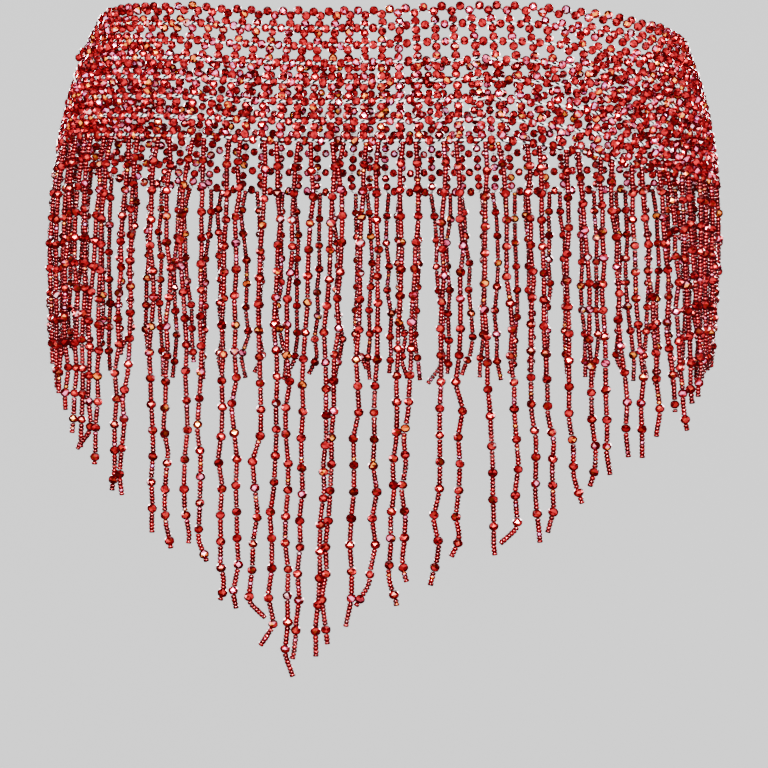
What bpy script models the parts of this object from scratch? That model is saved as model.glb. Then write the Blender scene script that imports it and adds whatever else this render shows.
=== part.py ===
"""Belly dance hip belt, worn: a seamless stretch net of beads, with bead fringe that falls to a point behind.

Metres, +Z up. The wearer faces +Y, so the point of the fringe is at -Y and +X is the wearer's right side.
The origin is on the axis of the oval, at mid-height of the net.
"""

import math
from collections import namedtuple

import bmesh
import bpy
import numpy as np
from mathutils import Vector

# The figure that fills the belt: a rounded oval, widest at FULLEST_Z and drawn in towards the waist.
HIP_WIDTH = 0.349
HIP_DEPTH = 0.241
OVAL_POWER = 2.3
FULLEST_Z = -0.100
WAIST_Z = 0.046
WAIST_DRAWN_IN = 0.027

# The net: square cells of beads, two beads on each upright and one on each crossbar.
CELLS_AROUND = 100
LOWER_CELLS, LOWER_CELL = 4, 0.0100
UPPER_CELLS, UPPER_CELL = 3, 0.0090
NET_HEIGHT = LOWER_CELLS * LOWER_CELL + UPPER_CELLS * UPPER_CELL
BEAD = 0.0040
KNOT_REACH = 0.0013
HOLE_WALL = 0.0014
SCALLOP = 0.0015

# The elastic is stretched unevenly: the uprights bunch and part again this many times around.
STRETCH_WAVES = 6
STRETCH_SWAY = 0.0025
STRETCH_START_PAIR = -5.5

# The fringe: a pair of strands on every second cell of the bottom row, which is its backing strip.
PAIRS = CELLS_AROUND // 2
BACK_PAIRS = range(-12, 13)
FRONT_PAIRS = range(13, 38)
POINT_SHIFT = -0.61
ROOT_GAP = 0.0062
HUNG_GAP = 0.0086
SPREAD_DEPTH = 0.080
STRAND = 0.0026
STRIP_HEIGHT = 0.0030
SEAM = 0.0003
LONGEST_STRAND = 0.262
SHORTEST_STRAND = 0.101
STEP_LEFT = 0.0082
STEP_RIGHT = 0.0066
STRAND_SEGMENT = 0.050
DRIFT_DEPTH = 0.240

RED_GLASS = (0.55, 0.012, 0.020, 1.0)
RED_SEED = (0.42, 0.008, 0.014, 1.0)

# How the belt sits, every 30 degrees from the centre back round by the wearer's right side: the lift of
# the bottom row, the lift of the top row, and how far sideways a long strand drifts by its end.
Sit = namedtuple("Sit", "place hem top drift")
SITS = (
    Sit("centre back", 0.0015, 0.0005, -0.006),
    Sit("right of centre", 0.0000, 0.0025, -0.003),
    Sit("right back", -0.0100, -0.0010, 0.006),
    Sit("right side", -0.0120, -0.0045, 0.005),
    Sit("right front", -0.0080, -0.0050, 0.002),
    Sit("right of navel", -0.0040, -0.0020, 0.000),
    Sit("centre front", -0.0020, 0.0010, 0.000),
    Sit("left of navel", 0.0000, 0.0025, 0.000),
    Sit("left front", 0.0020, 0.0040, -0.002),
    Sit("left side", 0.0070, 0.0080, -0.004),
    Sit("left back", 0.0125, 0.0120, -0.005),
    Sit("left of centre", 0.0085, 0.0080, -0.005),
)

# One ring of the net's outside: its height, the reach out from the middle of the wall at an upright and
# at the middle of a cell, and how far the edge drops at an upright and rises over a cell.
Course = namedtuple("Course", "height upright cell scallop")


def smooth(column, angle):
    """The value of one column of SITS at an angle, on a closed Catmull-Rom curve through its rows."""
    values = [getattr(sit, column) for sit in SITS]
    place = (angle / math.tau * len(values)) % len(values)
    first = int(place)
    along = place - first
    before, start, end, after = (values[(first + step) % len(values)] for step in (-1, 0, 1, 2))
    rise = (end - before) / 2
    bend = before - 2.5 * start + 2 * end - after / 2
    twist = (after - before) / 2 + 1.5 * (start - end)
    return start + along * (rise + along * (bend + along * twist))


def oval(angle, half_width, half_depth):
    """A point of the rounded oval; angle 0 is the centre back and a quarter turn is +X."""
    power = 2 / OVAL_POWER
    across, back = math.sin(angle), math.cos(angle)
    x = half_width * math.copysign(abs(across) ** power, across)
    y = -half_depth * math.copysign(abs(back) ** power, back)
    return x, y


def measure_girth(steps=3600):
    """Angles round the fullest oval, and the length of tape from the centre back to each."""
    angles = np.linspace(0, math.tau, steps + 1)
    points = np.array([oval(angle, HIP_WIDTH / 2, HIP_DEPTH / 2) for angle in angles])
    lengths = np.hypot(*np.diff(points, axis=0).T)
    return angles, np.concatenate([[0], np.cumsum(lengths)])


ANGLES, TAPE = measure_girth()
GIRTH = TAPE[-1]


def angle_at(tape):
    """The oval's angle at a length of tape from the centre back."""
    turns, rest = divmod(tape, GIRTH)
    return turns * math.tau + float(np.interp(rest, TAPE, ANGLES))


def tape_at(pair):
    """Where a pair hangs along the tape, with an upright a quarter on each side. Pair 0 is the point of the V."""
    wave = math.cos(math.tau * STRETCH_WAVES * (pair - STRETCH_START_PAIR) / PAIRS)
    return (pair + POINT_SHIFT) / PAIRS * GIRTH - STRETCH_SWAY * wave


def frame_at(angle, z):
    """A point of the figure at this angle and height, with the directions out of it and along it."""
    risen = max(0.0, (z - FULLEST_Z) / (WAIST_Z - FULLEST_Z))
    drawn = 1 - WAIST_DRAWN_IN * risen**3 / (HIP_WIDTH / 2)
    half_width, half_depth = HIP_WIDTH / 2 * drawn, HIP_DEPTH / 2 * drawn
    x, y = oval(angle, half_width, half_depth)
    power = OVAL_POWER - 1
    out = Vector((
        math.copysign(abs(x / half_width) ** power / half_width, x),
        math.copysign(abs(y / half_depth) ** power / half_depth, y),
        0,
    )).normalized()
    return Vector((x, y, z)), out, Vector((-out.y, out.x, 0))


def net_z(angle, height):
    """The height of a point of the net, from its height over the bottom row when laid flat."""
    share = height / NET_HEIGHT
    lift = (1 - share) * smooth("hem", angle) + share * smooth("top", angle)
    return height - NET_HEIGHT / 2 + lift


def new_part(name, mesh, colour, roughness, collection):
    material = bpy.data.materials.new(name)
    material.use_nodes = True
    shader = material.node_tree.nodes["Principled BSDF"]
    shader.inputs["Base Color"].default_value = colour
    shader.inputs["Roughness"].default_value = roughness
    bmesh.ops.recalc_face_normals(mesh, faces=mesh.faces)
    data = bpy.data.meshes.new(name)
    mesh.to_mesh(data)
    mesh.free()
    data.materials.append(material)
    part = bpy.data.objects.new(name, data)
    collection.objects.link(part)
    return part


def bridge(mesh, lower, upper, course=0):
    """Joins two closed rings of as many points. The faces' diagonals meet at every second point of a course."""
    for i in range(len(lower)):
        after = (i + 1) % len(lower)
        corners = [lower[i], lower[after], upper[after], upper[i]]
        turn = (i + course + 1) % 2
        mesh.faces.new(corners[turn:] + corners[:turn])


def row_heights():
    """The heights of the rows, from the bottom row to the edge at the top."""
    lower = [row * LOWER_CELL for row in range(LOWER_CELLS + 1)]
    return lower + [lower[-1] + (row + 1) * UPPER_CELL for row in range(UPPER_CELLS)]


def net_courses():
    """The net's rings: up its beaded outside, then down its plain inside."""
    rows = row_heights()
    bead, hole, inside = BEAD / 2, HOLE_WALL - BEAD / 2, -BEAD / 2
    hem = STRIP_HEIGHT / 2 + SEAM
    courses = [Course(hem, bead, KNOT_REACH, 0)]
    for below, row in zip(rows, rows[1:]):
        courses.append(Course((below + row) / 2, bead, hole, 0))
        courses.append(Course(row, KNOT_REACH, bead, 0))
    courses[-1] = Course(rows[-1], bead, bead, SCALLOP)
    courses.append(Course(rows[-1], inside, inside, SCALLOP))
    courses += [Course(row, inside, inside, 0) for row in rows[-3:0:-2]]
    return courses + [Course(hem, inside, inside, 0)]


def net_ring(mesh, course):
    """Two points for each cell: one on the upright and one in the middle of the cell."""
    ring = []
    for half_cell in range(2 * CELLS_AROUND):
        on_upright = half_cell % 2 == 0
        angle = angle_at(tape_at(half_cell / 4 - 0.25))
        reach = course.upright if on_upright else course.cell
        edge = -course.scallop if on_upright else course.scallop
        place, out, _ = frame_at(angle, net_z(angle, course.height + edge))
        ring.append(mesh.verts.new(place + out * reach))
    return ring


def make_net(collection):
    mesh = bmesh.new()
    rings = [net_ring(mesh, course) for course in net_courses()]
    for course, ring in enumerate(rings):
        bridge(mesh, ring, rings[(course + 1) % len(rings)], course)
    return new_part("net_band", mesh, RED_GLASS, 0.15, collection)


def strand_length(strand):
    """The V: strand 0 is the longest, and each one further round is a step shorter."""
    step = STEP_LEFT if strand < 0 else STEP_RIGHT
    return max(SHORTEST_STRAND, LONGEST_STRAND - abs(strand) * step)


def strand_place(pair, side, depth):
    """The middle of a strand at a depth under the bottom row, with the directions out and along."""
    root = tape_at(pair)
    opened = math.sin(min(1, depth / SPREAD_DEPTH) * math.pi / 2)
    gap = ROOT_GAP + (HUNG_GAP - ROOT_GAP) * opened
    drift = smooth("drift", angle_at(root)) * depth / DRIFT_DEPTH
    hem_angle = angle_at(root + side * ROOT_GAP / 2)
    return frame_at(angle_at(root + side * gap / 2 + drift), net_z(hem_angle, 0) - depth)


def strand_ring(mesh, pair, side, depth):
    place, out, along = strand_place(pair, side, depth)
    corners = ((-1, -1), (1, -1), (1, 1), (-1, 1))
    return [mesh.verts.new(place + (along * a + out * b) * STRAND / 2) for a, b in corners]


def make_strand(mesh, pair, side, root):
    """A hanging strand of four sides, from the four corners of its root in the strip down to its end."""
    length = strand_length(2 * pair + (0 if side < 0 else 1))
    segments = math.ceil(length / STRAND_SEGMENT)
    ring = root
    for segment in range(1, segments + 1):
        lower = strand_ring(mesh, pair, side, length * segment / segments)
        bridge(mesh, ring, lower)
        ring = lower
    mesh.faces.new(ring)


def strip_section(mesh, tape):
    """The strip's four corners at a length of tape: bottom and top inside, then top and bottom outside."""
    angle = angle_at(tape)
    place, out, _ = frame_at(angle, net_z(angle, 0))
    up = Vector((0, 0, STRIP_HEIGHT / 2))
    reach = out * BEAD / 2
    return [mesh.verts.new(place + corner) for corner in (-up - reach, up - reach, up + reach, reach - up)]


def make_fringe(name, pairs, collection):
    """A strip of the bottom row, with a strand let into its underside on each side of every second bead."""
    mesh = bmesh.new()
    half = STRAND / 2
    section = strip_section(mesh, tape_at(pairs[0] - 0.5) + SEAM / 2)
    mesh.faces.new(section)
    for pair in pairs:
        for side in (-1, 1):
            middle = tape_at(pair) + side * ROOT_GAP / 2
            start, end = (strip_section(mesh, middle + step) for step in (-half, half))
            bridge(mesh, section, start)
            for corner in range(3):
                mesh.faces.new((start[corner], start[corner + 1], end[corner + 1], end[corner]))
            make_strand(mesh, pair, side, (start[0], end[0], end[3], start[3]))
            section = end
    end = strip_section(mesh, tape_at(pairs[-1] + 0.5) - SEAM / 2)
    bridge(mesh, section, end)
    mesh.faces.new(end)
    return new_part(name, mesh, RED_SEED, 0.12, collection)


def main():
    for old in list(bpy.data.objects):
        bpy.data.objects.remove(old, do_unlink=True)
    collection = bpy.data.collections.new("belly_dance_hip_belt")
    bpy.context.scene.collection.children.link(collection)
    make_net(collection)
    make_fringe("fringe_back", BACK_PAIRS, collection)
    make_fringe("fringe_front", FRONT_PAIRS, collection)


main()
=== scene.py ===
"""Dresses the hip belt's solids: strings its net and pointed fringe bead by bead, and sets a stage."""

import math
from collections import namedtuple

import bpy
import numpy as np
from bpy.props import FloatProperty, FloatVectorProperty, PointerProperty
from bpy.types import Operator, Panel, PropertyGroup
from mathutils import Matrix, Vector


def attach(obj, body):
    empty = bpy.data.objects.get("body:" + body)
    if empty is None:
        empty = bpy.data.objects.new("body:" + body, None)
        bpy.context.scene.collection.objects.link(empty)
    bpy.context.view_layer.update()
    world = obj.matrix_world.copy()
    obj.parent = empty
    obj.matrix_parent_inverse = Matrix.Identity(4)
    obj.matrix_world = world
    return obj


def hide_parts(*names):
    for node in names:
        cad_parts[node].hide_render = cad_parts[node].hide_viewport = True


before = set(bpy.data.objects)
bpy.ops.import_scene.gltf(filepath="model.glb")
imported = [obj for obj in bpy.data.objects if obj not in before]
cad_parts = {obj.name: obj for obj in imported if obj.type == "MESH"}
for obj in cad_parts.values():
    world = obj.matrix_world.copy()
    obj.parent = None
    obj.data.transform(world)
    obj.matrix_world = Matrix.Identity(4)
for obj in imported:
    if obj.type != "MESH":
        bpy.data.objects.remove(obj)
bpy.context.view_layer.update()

bl_info = {
    "name": "Beaded Hip Belt",
    "version": (1, 0, 0),
    "blender": (4, 5, 0),
    "location": "3D View > Sidebar > Hip Belt",
    "description": "Strings a belly dance hip belt bead by bead, and sets a plain stage round it",
    "category": "Add Mesh",
}

BODY = "root"
NET_NODE, BACK_NODE, FRONT_NODE = "net_band", "fringe_back", "fringe_front"

# The figure that fills the belt, as the solids have it: an oval, drawn in from its fullest to the waist.
HIP_WIDTH = 0.349
HIP_DEPTH = 0.241
OVAL_POWER = 2.3
FULLEST_Z = -0.100
WAIST_Z = 0.046
WAIST_DRAWN_IN = 0.027

# The net's cells and the fringe's pairs of strands, as the solids have them.
CELLS_AROUND = 100
LOWER_CELLS, LOWER_CELL = 4, 0.0100
UPPER_CELLS, UPPER_CELL = 3, 0.0090
CELLS_HIGH = LOWER_CELLS + UPPER_CELLS
NET_HEIGHT = LOWER_CELLS * LOWER_CELL + UPPER_CELLS * UPPER_CELL
STRETCH_WAVES = 6
STRETCH_SWAY = 0.0025
STRETCH_START_PAIR = -5.5
PAIRS = CELLS_AROUND // 2
BACK_PAIRS = range(-12, 13)
FRONT_PAIRS = range(13, 38)
POINT_SHIFT = -0.61
ROOT_GAP = 0.0062
HUNG_GAP = 0.0086
SPREAD_DEPTH = 0.080
LONGEST_STRAND = 0.262
SHORTEST_STRAND = 0.101
STEP_LEFT = 0.0082
STEP_RIGHT = 0.0066
DRIFT_DEPTH = 0.240

# How the belt sits, every 30 degrees from the centre back round by the wearer's right side: the lift of
# the bottom row, the lift of the top row, and how far sideways a long strand drifts by its end.
Sit = namedtuple("Sit", "place hem top drift")
SITS = (
    Sit("centre back", 0.0015, 0.0005, -0.006),
    Sit("right of centre", 0.0000, 0.0025, -0.003),
    Sit("right back", -0.0100, -0.0010, 0.006),
    Sit("right side", -0.0120, -0.0045, 0.005),
    Sit("right front", -0.0080, -0.0050, 0.002),
    Sit("right of navel", -0.0040, -0.0020, 0.000),
    Sit("centre front", -0.0020, 0.0010, 0.000),
    Sit("left of navel", 0.0000, 0.0025, 0.000),
    Sit("left front", 0.0020, 0.0040, -0.002),
    Sit("left side", 0.0070, 0.0080, -0.004),
    Sit("left back", 0.0125, 0.0120, -0.005),
    Sit("left of centre", 0.0085, 0.0080, -0.005),
)

# How far things stray, in shares of the looseness, how far beads tilt, and where random draws start.
CROSSING_SLIDE, CROSSING_STRAY = 0.35, 0.22
BAR_SLIDE, BEAD_STRAY, UPRIGHT_STRAY = 0.30, 0.15, 0.12
BAR_TILT, UPRIGHT_TILT, BOTTOM_TILT, STRAND_TILT = 0.12, 0.10, 0.10, 0.16
CROSSINGS_DRAW, NET_DRAW, ELASTIC_DRAW, KNOTS_DRAW = 11, 21, 23, 31
BACK_DRAW, FRONT_DRAW, SLIPPED_DRAW = 41, 51, 63

# How a row's two elastic strands part round a knot: over which share of a cell and how suddenly, and how
# far, in thicknesses of elastic. Then the pair of strands where their slant turns, how the knots slope and
# stand proud, and how far the top thread dips at an upright, as a share of a cell.
ELASTIC_OPENS, CROSSING_SHIFT, CROSSING_STEEPNESS = 0.26, 0.04, 12
BEHIND, IN_FRONT, PROUD, PARTED, PARTING_SPREAD = -0.4, 1, 0.2, 0.85, 0.2
STEPS_IN_CELL = 10
SLANT_TURNS = 5.0
KNOT_SLOPE, KNOT_SLOPE_SPREAD, KNOT_TILT = 0.30, 0.16, 0.10
KNOT_PROUD = 0.9
TOP_DIP = 0.42

# How proud of the net the bottom row's elastic runs and how thick it is, in thicknesses of elastic.
ROW_PROUD, ROW_RADIUS = 0.8, 0.6

# How far the two beads of an upright lie from its middle, in lengths of a bead, and how the beads' sizes
# differ: by their spread, and the smallest and largest.
FROM_MIDDLE = 0.51
SIZE_SPREAD, SMALLEST, LARGEST = 0.025, 0.94, 1.05

# The order of beads on a strand, and how it bends: a little at each large bead, more near its end, and as a
# hook in its last stretch. A sway or a curl grows down the strand by its power.
SEEDS_AT_ROOT = (5, 5, 5, 6, 6, 7)
SEEDS_IN_GROUP = 5
EXTRA_SEED_CHANCE = 0.2
FEWEST_AT_END, MOST_AT_END = 1, 7
GROUP_SLACK = 0.0002
BEND_AT_BEAD = 0.095
BEND_AT_ROOT, BEND_ABOVE_END, BEND_AT_END = 0.55, 0.75, 1.2
LOOSE_LENGTH = 0.07
GROUP_LENGTH = 0.0132
STEPS_IN_STRAND = 240
SPRING_BACK = 0.6
OUTWARD_SHARE = 0.5
END_STANDS_OUT = 0.0005
HOOK_LENGTH, HOOK_BEND = 0.013, 0.4
SWAY_POWER, CURL_POWER = 1.3, 1.5
THREAD_POINTS = 32
MM = 0.001
OTHER_HOOKS = (0, 0, 0, 6, -6, 12, -12, 25, -25)

# Strands that don't hang as the rule says: how much longer each is and how far right it sways, in
# millimetres, how its last stretch turns to the right, in degrees, and how far it curls in, in millimetres.
Hang = namedtuple("Hang", "strand longer sway hook inward", defaults=(0,))
HANGS = (
    Hang(-12, 1, -3, -45), Hang(-11, -4, -5, 0), Hang(-10, 0, 0, -10), Hang(-9, -7, -5, 8),
    Hang(-8, 3, 3, 10), Hang(-7, 4, 5, 15), Hang(-6, -10, 6, 0), Hang(-5, -8, 3, 25),
    Hang(-4, 2, 8, -20), Hang(-3, -4, 4, 0), Hang(-2, -3, 0, 50), Hang(-1, -2, 5, -35),
    Hang(0, 4, 2, 20), Hang(1, 2, -2, -5), Hang(2, 6, 0, 0), Hang(3, 7, -3, 0),
    Hang(4, 4, -3, 0), Hang(5, 2, -1, -30), Hang(6, 6, 0, 15), Hang(7, 2, -4, 15),
    Hang(8, 11, 1, -12), Hang(9, 4, 4, -20), Hang(10, 10, 8, 0), Hang(11, 13, 11, -50),
    Hang(12, 15, 7, 5), Hang(13, 15, 7, -20), Hang(14, 5, 5, 12), Hang(15, 2, 5, -10),
    Hang(16, 1, 2, 0), Hang(17, 0, 3, 5), Hang(18, 4, 2, 0), Hang(19, -2, 5, -12),
    Hang(20, -8, 7, 0), Hang(21, 6, 6, 10), Hang(22, -1, 4, 0), Hang(23, 2, 5, -15),
    Hang(24, -2, 3, -10, 2), Hang(25, -3, 2, -15, 3), Hang(26, -5, 0, 0, 4), Hang(27, -6, 1, 0, 5),
    Hang(28, -7, -1, 8, 5), Hang(29, -6, 0, 0, 6), Hang(30, -7, 1, -8, 6), Hang(31, -5, 0, 0, 5),
    Hang(32, -6, 0, 12, 5), Hang(33, -4, -1, 0, 4),
)


# ------------------------------------------------------------------ the belt's shape

def smooth(column, angle):
    """The value of one column of SITS at each angle, on a closed Catmull-Rom curve through its rows."""
    values = np.array([getattr(sit, column) for sit in SITS])
    place = np.mod(np.asarray(angle) / math.tau * len(values), len(values))
    first = place.astype(int)
    along = place - first
    before, start, end, after = (values[(first + step) % len(values)] for step in (-1, 0, 1, 2))
    rise = (end - before) / 2
    bend = before - 2.5 * start + 2 * end - after / 2
    twist = (after - before) / 2 + 1.5 * (start - end)
    return start + along * (rise + along * (bend + along * twist))


def unit(vectors):
    return vectors / np.linalg.norm(vectors, axis=-1, keepdims=True)


def figure(angle, z):
    """Points of the figure at these angles and heights, and the directions out of it there."""
    power = 2 / OVAL_POWER
    risen = np.maximum(0, (z - FULLEST_Z) / (WAIST_Z - FULLEST_Z))
    drawn = 1 - WAIST_DRAWN_IN * risen**3 / (HIP_WIDTH / 2)
    half_width, half_depth = HIP_WIDTH / 2 * drawn, HIP_DEPTH / 2 * drawn
    across, back = np.sin(angle), np.cos(angle)
    x = half_width * np.sign(across) * np.abs(across) ** power
    y = -half_depth * np.sign(back) * np.abs(back) ** power
    power = OVAL_POWER - 1
    out_x = np.sign(x) * np.abs(x / half_width) ** power / half_width
    out_y = np.sign(y) * np.abs(y / half_depth) ** power / half_depth
    z = np.broadcast_to(z, x.shape)
    return np.stack([x, y, z], -1), unit(np.stack([out_x, out_y, np.zeros_like(x)], -1))


def measure_girth(steps=3600):
    """Angles round the fullest oval, and the length of tape from the centre back to each."""
    angles = np.linspace(0, math.tau, steps + 1)
    points, _ = figure(angles, np.full(steps + 1, FULLEST_Z))
    lengths = np.linalg.norm(np.diff(points, axis=0), axis=1)
    return angles, np.concatenate([[0], np.cumsum(lengths)])


ANGLES, TAPE = measure_girth()
GIRTH = TAPE[-1]


def angle_at(tape):
    turns, rest = np.divmod(tape, GIRTH)
    return turns * math.tau + np.interp(rest, TAPE, ANGLES)


def tape_at(pair):
    """Where a pair hangs along the tape, an upright a quarter on each side. Pair 0 is the V's point."""
    wave = np.cos(math.tau * STRETCH_WAVES * (pair - STRETCH_START_PAIR) / PAIRS)
    return (pair + POINT_SHIFT) / PAIRS * GIRTH - STRETCH_SWAY * wave


def net_z(angle, height):
    share = height / NET_HEIGHT
    lift = (1 - share) * smooth("hem", angle) + share * smooth("top", angle)
    return height - NET_HEIGHT / 2 + lift


def net_point(pair, height, reach=0.0):
    """Points of the net, from their places along the pairs and their heights over the bottom row."""
    angle = angle_at(tape_at(pair))
    place, out = figure(angle, net_z(angle, height))
    return place + out * np.asarray(reach)[..., None]


def net_frame(pair, height):
    """Points of the net with the directions along a row, up an upright and out of the net."""
    step = 0.0004
    step_pairs = step / GIRTH * PAIRS
    place = net_point(pair, height)
    along = unit(net_point(pair + step_pairs, height) - net_point(pair - step_pairs, height))
    up = unit(net_point(pair, height + step) - net_point(pair, height - step))
    out = unit(np.cross(along, up))
    return place, along, up, out


def row_heights():
    """The heights of the rows, from the bottom row to the edge at the top."""
    lower = [row * LOWER_CELL for row in range(LOWER_CELLS + 1)]
    return np.array(lower + [lower[-1] + (row + 1) * UPPER_CELL for row in range(UPPER_CELLS)])


def crossings(sizes):
    """Where each row crosses each upright: places along the pairs and heights, a little uneven."""
    rng = np.random.default_rng(CROSSINGS_DRAW)
    shape = (CELLS_HIGH + 1, CELLS_AROUND)
    slide = rng.normal(0, sizes.looseness * CROSSING_SLIDE, shape) / GIRTH * PAIRS
    height = row_heights()[:, None] + rng.normal(0, sizes.looseness * CROSSING_STRAY, shape)
    return np.arange(CELLS_AROUND) / 2 - 0.25 + slide, height


def strand_length(strand):
    """The V: strand 0 is the longest, and each one further round is a step shorter."""
    step = STEP_LEFT if strand < 0 else STEP_RIGHT
    return max(SHORTEST_STRAND, LONGEST_STRAND - abs(strand) * step)


def strand_points(pair, side, depth, sideways, outward):
    """Points of a strand at depths under the bottom row, moved sideways and outward from there."""
    root = tape_at(pair)
    opened = np.sin(np.minimum(1, depth / SPREAD_DEPTH) * math.pi / 2)
    gap = ROOT_GAP + (HUNG_GAP - ROOT_GAP) * opened
    drift = smooth("drift", angle_at(root)) * depth / DRIFT_DEPTH
    hem = net_z(angle_at(root + side * ROOT_GAP / 2), 0)
    place, out = figure(angle_at(root + side * gap / 2 + drift), hem - depth)
    along = np.stack([-out[:, 1], out[:, 0], out[:, 2]], -1)
    return place + along * sideways[:, None] + out * outward[:, None], out


# ------------------------------------------------------------------ making meshes

# How far out the hole's dimple starts, as a share of a bead's half-length.
DIMPLE = 0.72


def build_mesh(points, faces, smooth_faces):
    """A mesh from points and a list of face arrays, each with three or four corners a face."""
    mesh = bpy.data.meshes.new("part")
    corners = np.concatenate([part.ravel() for part in faces])
    sizes = np.concatenate([np.full(len(part), part.shape[1]) for part in faces])
    mesh.vertices.add(len(points))
    mesh.vertices.foreach_set("co", np.ascontiguousarray(points, np.float32).ravel())
    mesh.loops.add(len(corners))
    mesh.loops.foreach_set("vertex_index", corners.astype(np.int32))
    mesh.polygons.add(len(sizes))
    mesh.polygons.foreach_set("loop_start", (np.cumsum(sizes) - sizes).astype(np.int32))
    mesh.polygons.foreach_set("use_smooth", np.full(len(sizes), smooth_faces))
    mesh.update(calc_edges=True)
    mesh.validate()
    return mesh


def write_values(mesh, name, values):
    made = mesh.attributes.new(name, "FLOAT", "FACE")
    made.data.foreach_set("value", values.astype(np.float32))


def ring_points(radius, z, sides, turn=0.0):
    """Points of a level ring, which may be turned by a share of a side."""
    angles = (np.arange(sides) + turn) * math.tau / sides
    return np.stack([radius * np.cos(angles), radius * np.sin(angles), np.full(sides, z)], -1)


def turned_bead(profile, size, length, sides, staggered):
    """A bead's points and faces from a profile of (place along, radius), with dimples for its hole."""
    points, rings = [], []
    for ring, (along, radius) in enumerate(profile):
        turn = 0.5 * (ring % 2) if staggered else 0
        rings.append(np.arange(sides) + ring * sides)
        points.append(ring_points(radius * size / 2, along * length / 2, sides, turn))
    dimple = profile[-1][0] * length / 2 * DIMPLE
    points.append(np.array([(0, 0, -dimple), (0, 0, dimple)]))
    points = np.concatenate(points)
    start, end = len(points) - 2, len(points) - 1
    steps = enumerate(zip(rings, rings[1:]))
    faces = [bridge(lower, upper, ring, staggered) for ring, (lower, upper) in steps]
    first, last = rings[0], rings[-1]
    faces.append(np.stack([np.roll(first, -1), first, np.full(sides, start)], -1))
    faces.append(np.stack([last, np.roll(last, -1), np.full(sides, end)], -1))
    return points, faces


def bridge(lower, upper, ring, staggered):
    """Faces between two rings of points: quads, or triangles where the rings are half a side apart."""
    next_lower, next_upper = np.roll(lower, -1), np.roll(upper, -1)
    if not staggered:
        return np.stack([lower, next_lower, next_upper, upper], -1)
    if ring % 2:
        first = np.stack([lower, next_upper, upper], -1)
        second = np.stack([lower, next_lower, next_upper], -1)
    else:
        first = np.stack([lower, next_lower, upper], -1)
        second = np.stack([next_lower, next_upper, upper], -1)
    return np.concatenate([first, second])


def faceted_bead(size, length):
    """A fire-polished glass bead: rings of triangular facets round a hole."""
    profile = [(-1.0, 0.42), (-0.61, 0.87), (0.0, 1.04), (0.61, 0.87), (1.0, 0.42)]
    return turned_bead(profile, size, length, 7, True)


def seed_bead(size, length):
    """A small rounded bead."""
    profile = [(-1.0, 0.70), (-0.74, 0.94), (0.0, 1.0), (0.74, 0.94), (1.0, 0.70)]
    return turned_bead(profile, size, length, 7, False)


def knot_bead(size):
    """A tight thread knot: a slim barrel that lies between the elastic strands."""
    profile = [(-1.9, 0.30), (-0.9, 0.85), (0.9, 0.85), (1.9, 0.30)]
    return turned_bead(profile, size, size, 6, False)


def bead_axes(axis, out, roll):
    """Each bead's own axes, as rows, with z along its hole and turned about it by roll."""
    z = unit(axis)
    x = unit(np.cross(np.cross(z, out), z))
    y = np.cross(z, x)
    cos, sin = np.cos(roll)[:, None], np.sin(roll)[:, None]
    return np.stack([x * cos + y * sin, y * cos - x * sin, z], 1)


def strayed_axes(rng, axis, side, out, tilt):
    """Axes of beads along a direction, each bead tilted a little both ways and turned about its hole."""
    many = len(axis)
    tilts = rng.normal(0, tilt, (2, many, 1)) * np.linalg.norm(axis, axis=1, keepdims=True)
    return bead_axes(axis + side * tilts[0] + out * tilts[1], out, rng.uniform(0, math.tau, many))


def string_beads(bead, strung, rng, smooth_faces=False):
    """One mesh of many beads, from a list of (places, axes), with random values for a bead and a facet."""
    points, faces = bead
    places, axes = (np.concatenate(part) for part in zip(*strung))
    many = len(places)
    scale = rng.normal(1, SIZE_SPREAD, (many, 1, 1)).clip(SMALLEST, LARGEST)
    placed = np.einsum("pc,nck->npk", points, axes) * scale + places[:, None, :]
    step = (np.arange(many) * len(points))[:, None, None]
    stepped = [(part[None] + step).reshape(-1, part.shape[1]) for part in faces]
    mesh = build_mesh(placed.reshape(-1, 3), stepped, smooth_faces)
    of_bead = np.concatenate([np.repeat(np.arange(many), len(part)) for part in faces])
    write_values(mesh, "bead", rng.random(many)[of_bead])
    write_values(mesh, "lustre", rng.random(many)[of_bead])
    write_values(mesh, "facet", rng.random(len(of_bead)))
    return mesh


def sweep_lines(lines, out, radius, sides, closed):
    """Points and faces of tubes along many lines of as many points each, closed into rings or capped."""
    many, count, _ = lines.shape
    if closed:
        run = np.roll(lines, -1, 1) - np.roll(lines, 1, 1)
    else:
        run = np.gradient(lines, axis=1)
    run = unit(run)
    first = unit(out - run * (out * run).sum(-1, keepdims=True))
    second = np.cross(run, first)
    angles = np.arange(sides) * math.tau / sides
    cos, sin = np.cos(angles)[:, None], np.sin(angles)[:, None]
    ring = first[..., None, :] * cos + second[..., None, :] * sin
    points = lines[..., None, :] + ring * radius
    index = np.arange(many * count * sides).reshape(many, count, sides)
    after = np.roll(index, -1, 1) if closed else index[:, 1:]
    before = index if closed else index[:, :-1]
    quads = np.stack([before, np.roll(before, -1, 2), np.roll(after, -1, 2), after], -1)
    faces = [quads.reshape(-1, 4)]
    if not closed:
        for step in range(1, sides - 1):
            faces.append(np.stack([index[:, 0, 0], index[:, 0, step + 1], index[:, 0, step]], -1))
            faces.append(np.stack([index[:, -1, 0], index[:, -1, step], index[:, -1, step + 1]], -1))
    return points.reshape(-1, 3), faces


def joined_tubes(*tubes):
    """One mesh of several results of sweep_lines."""
    points, faces, start = [], [], 0
    for tube_points, tube_faces in tubes:
        points.append(tube_points)
        faces += [part + start for part in tube_faces]
        start += len(tube_points)
    return build_mesh(np.concatenate(points), faces, True)


def add_object(name, data):
    made = bpy.data.objects.new(name, data)
    bpy.context.scene.collection.objects.link(made)
    return made


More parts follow.
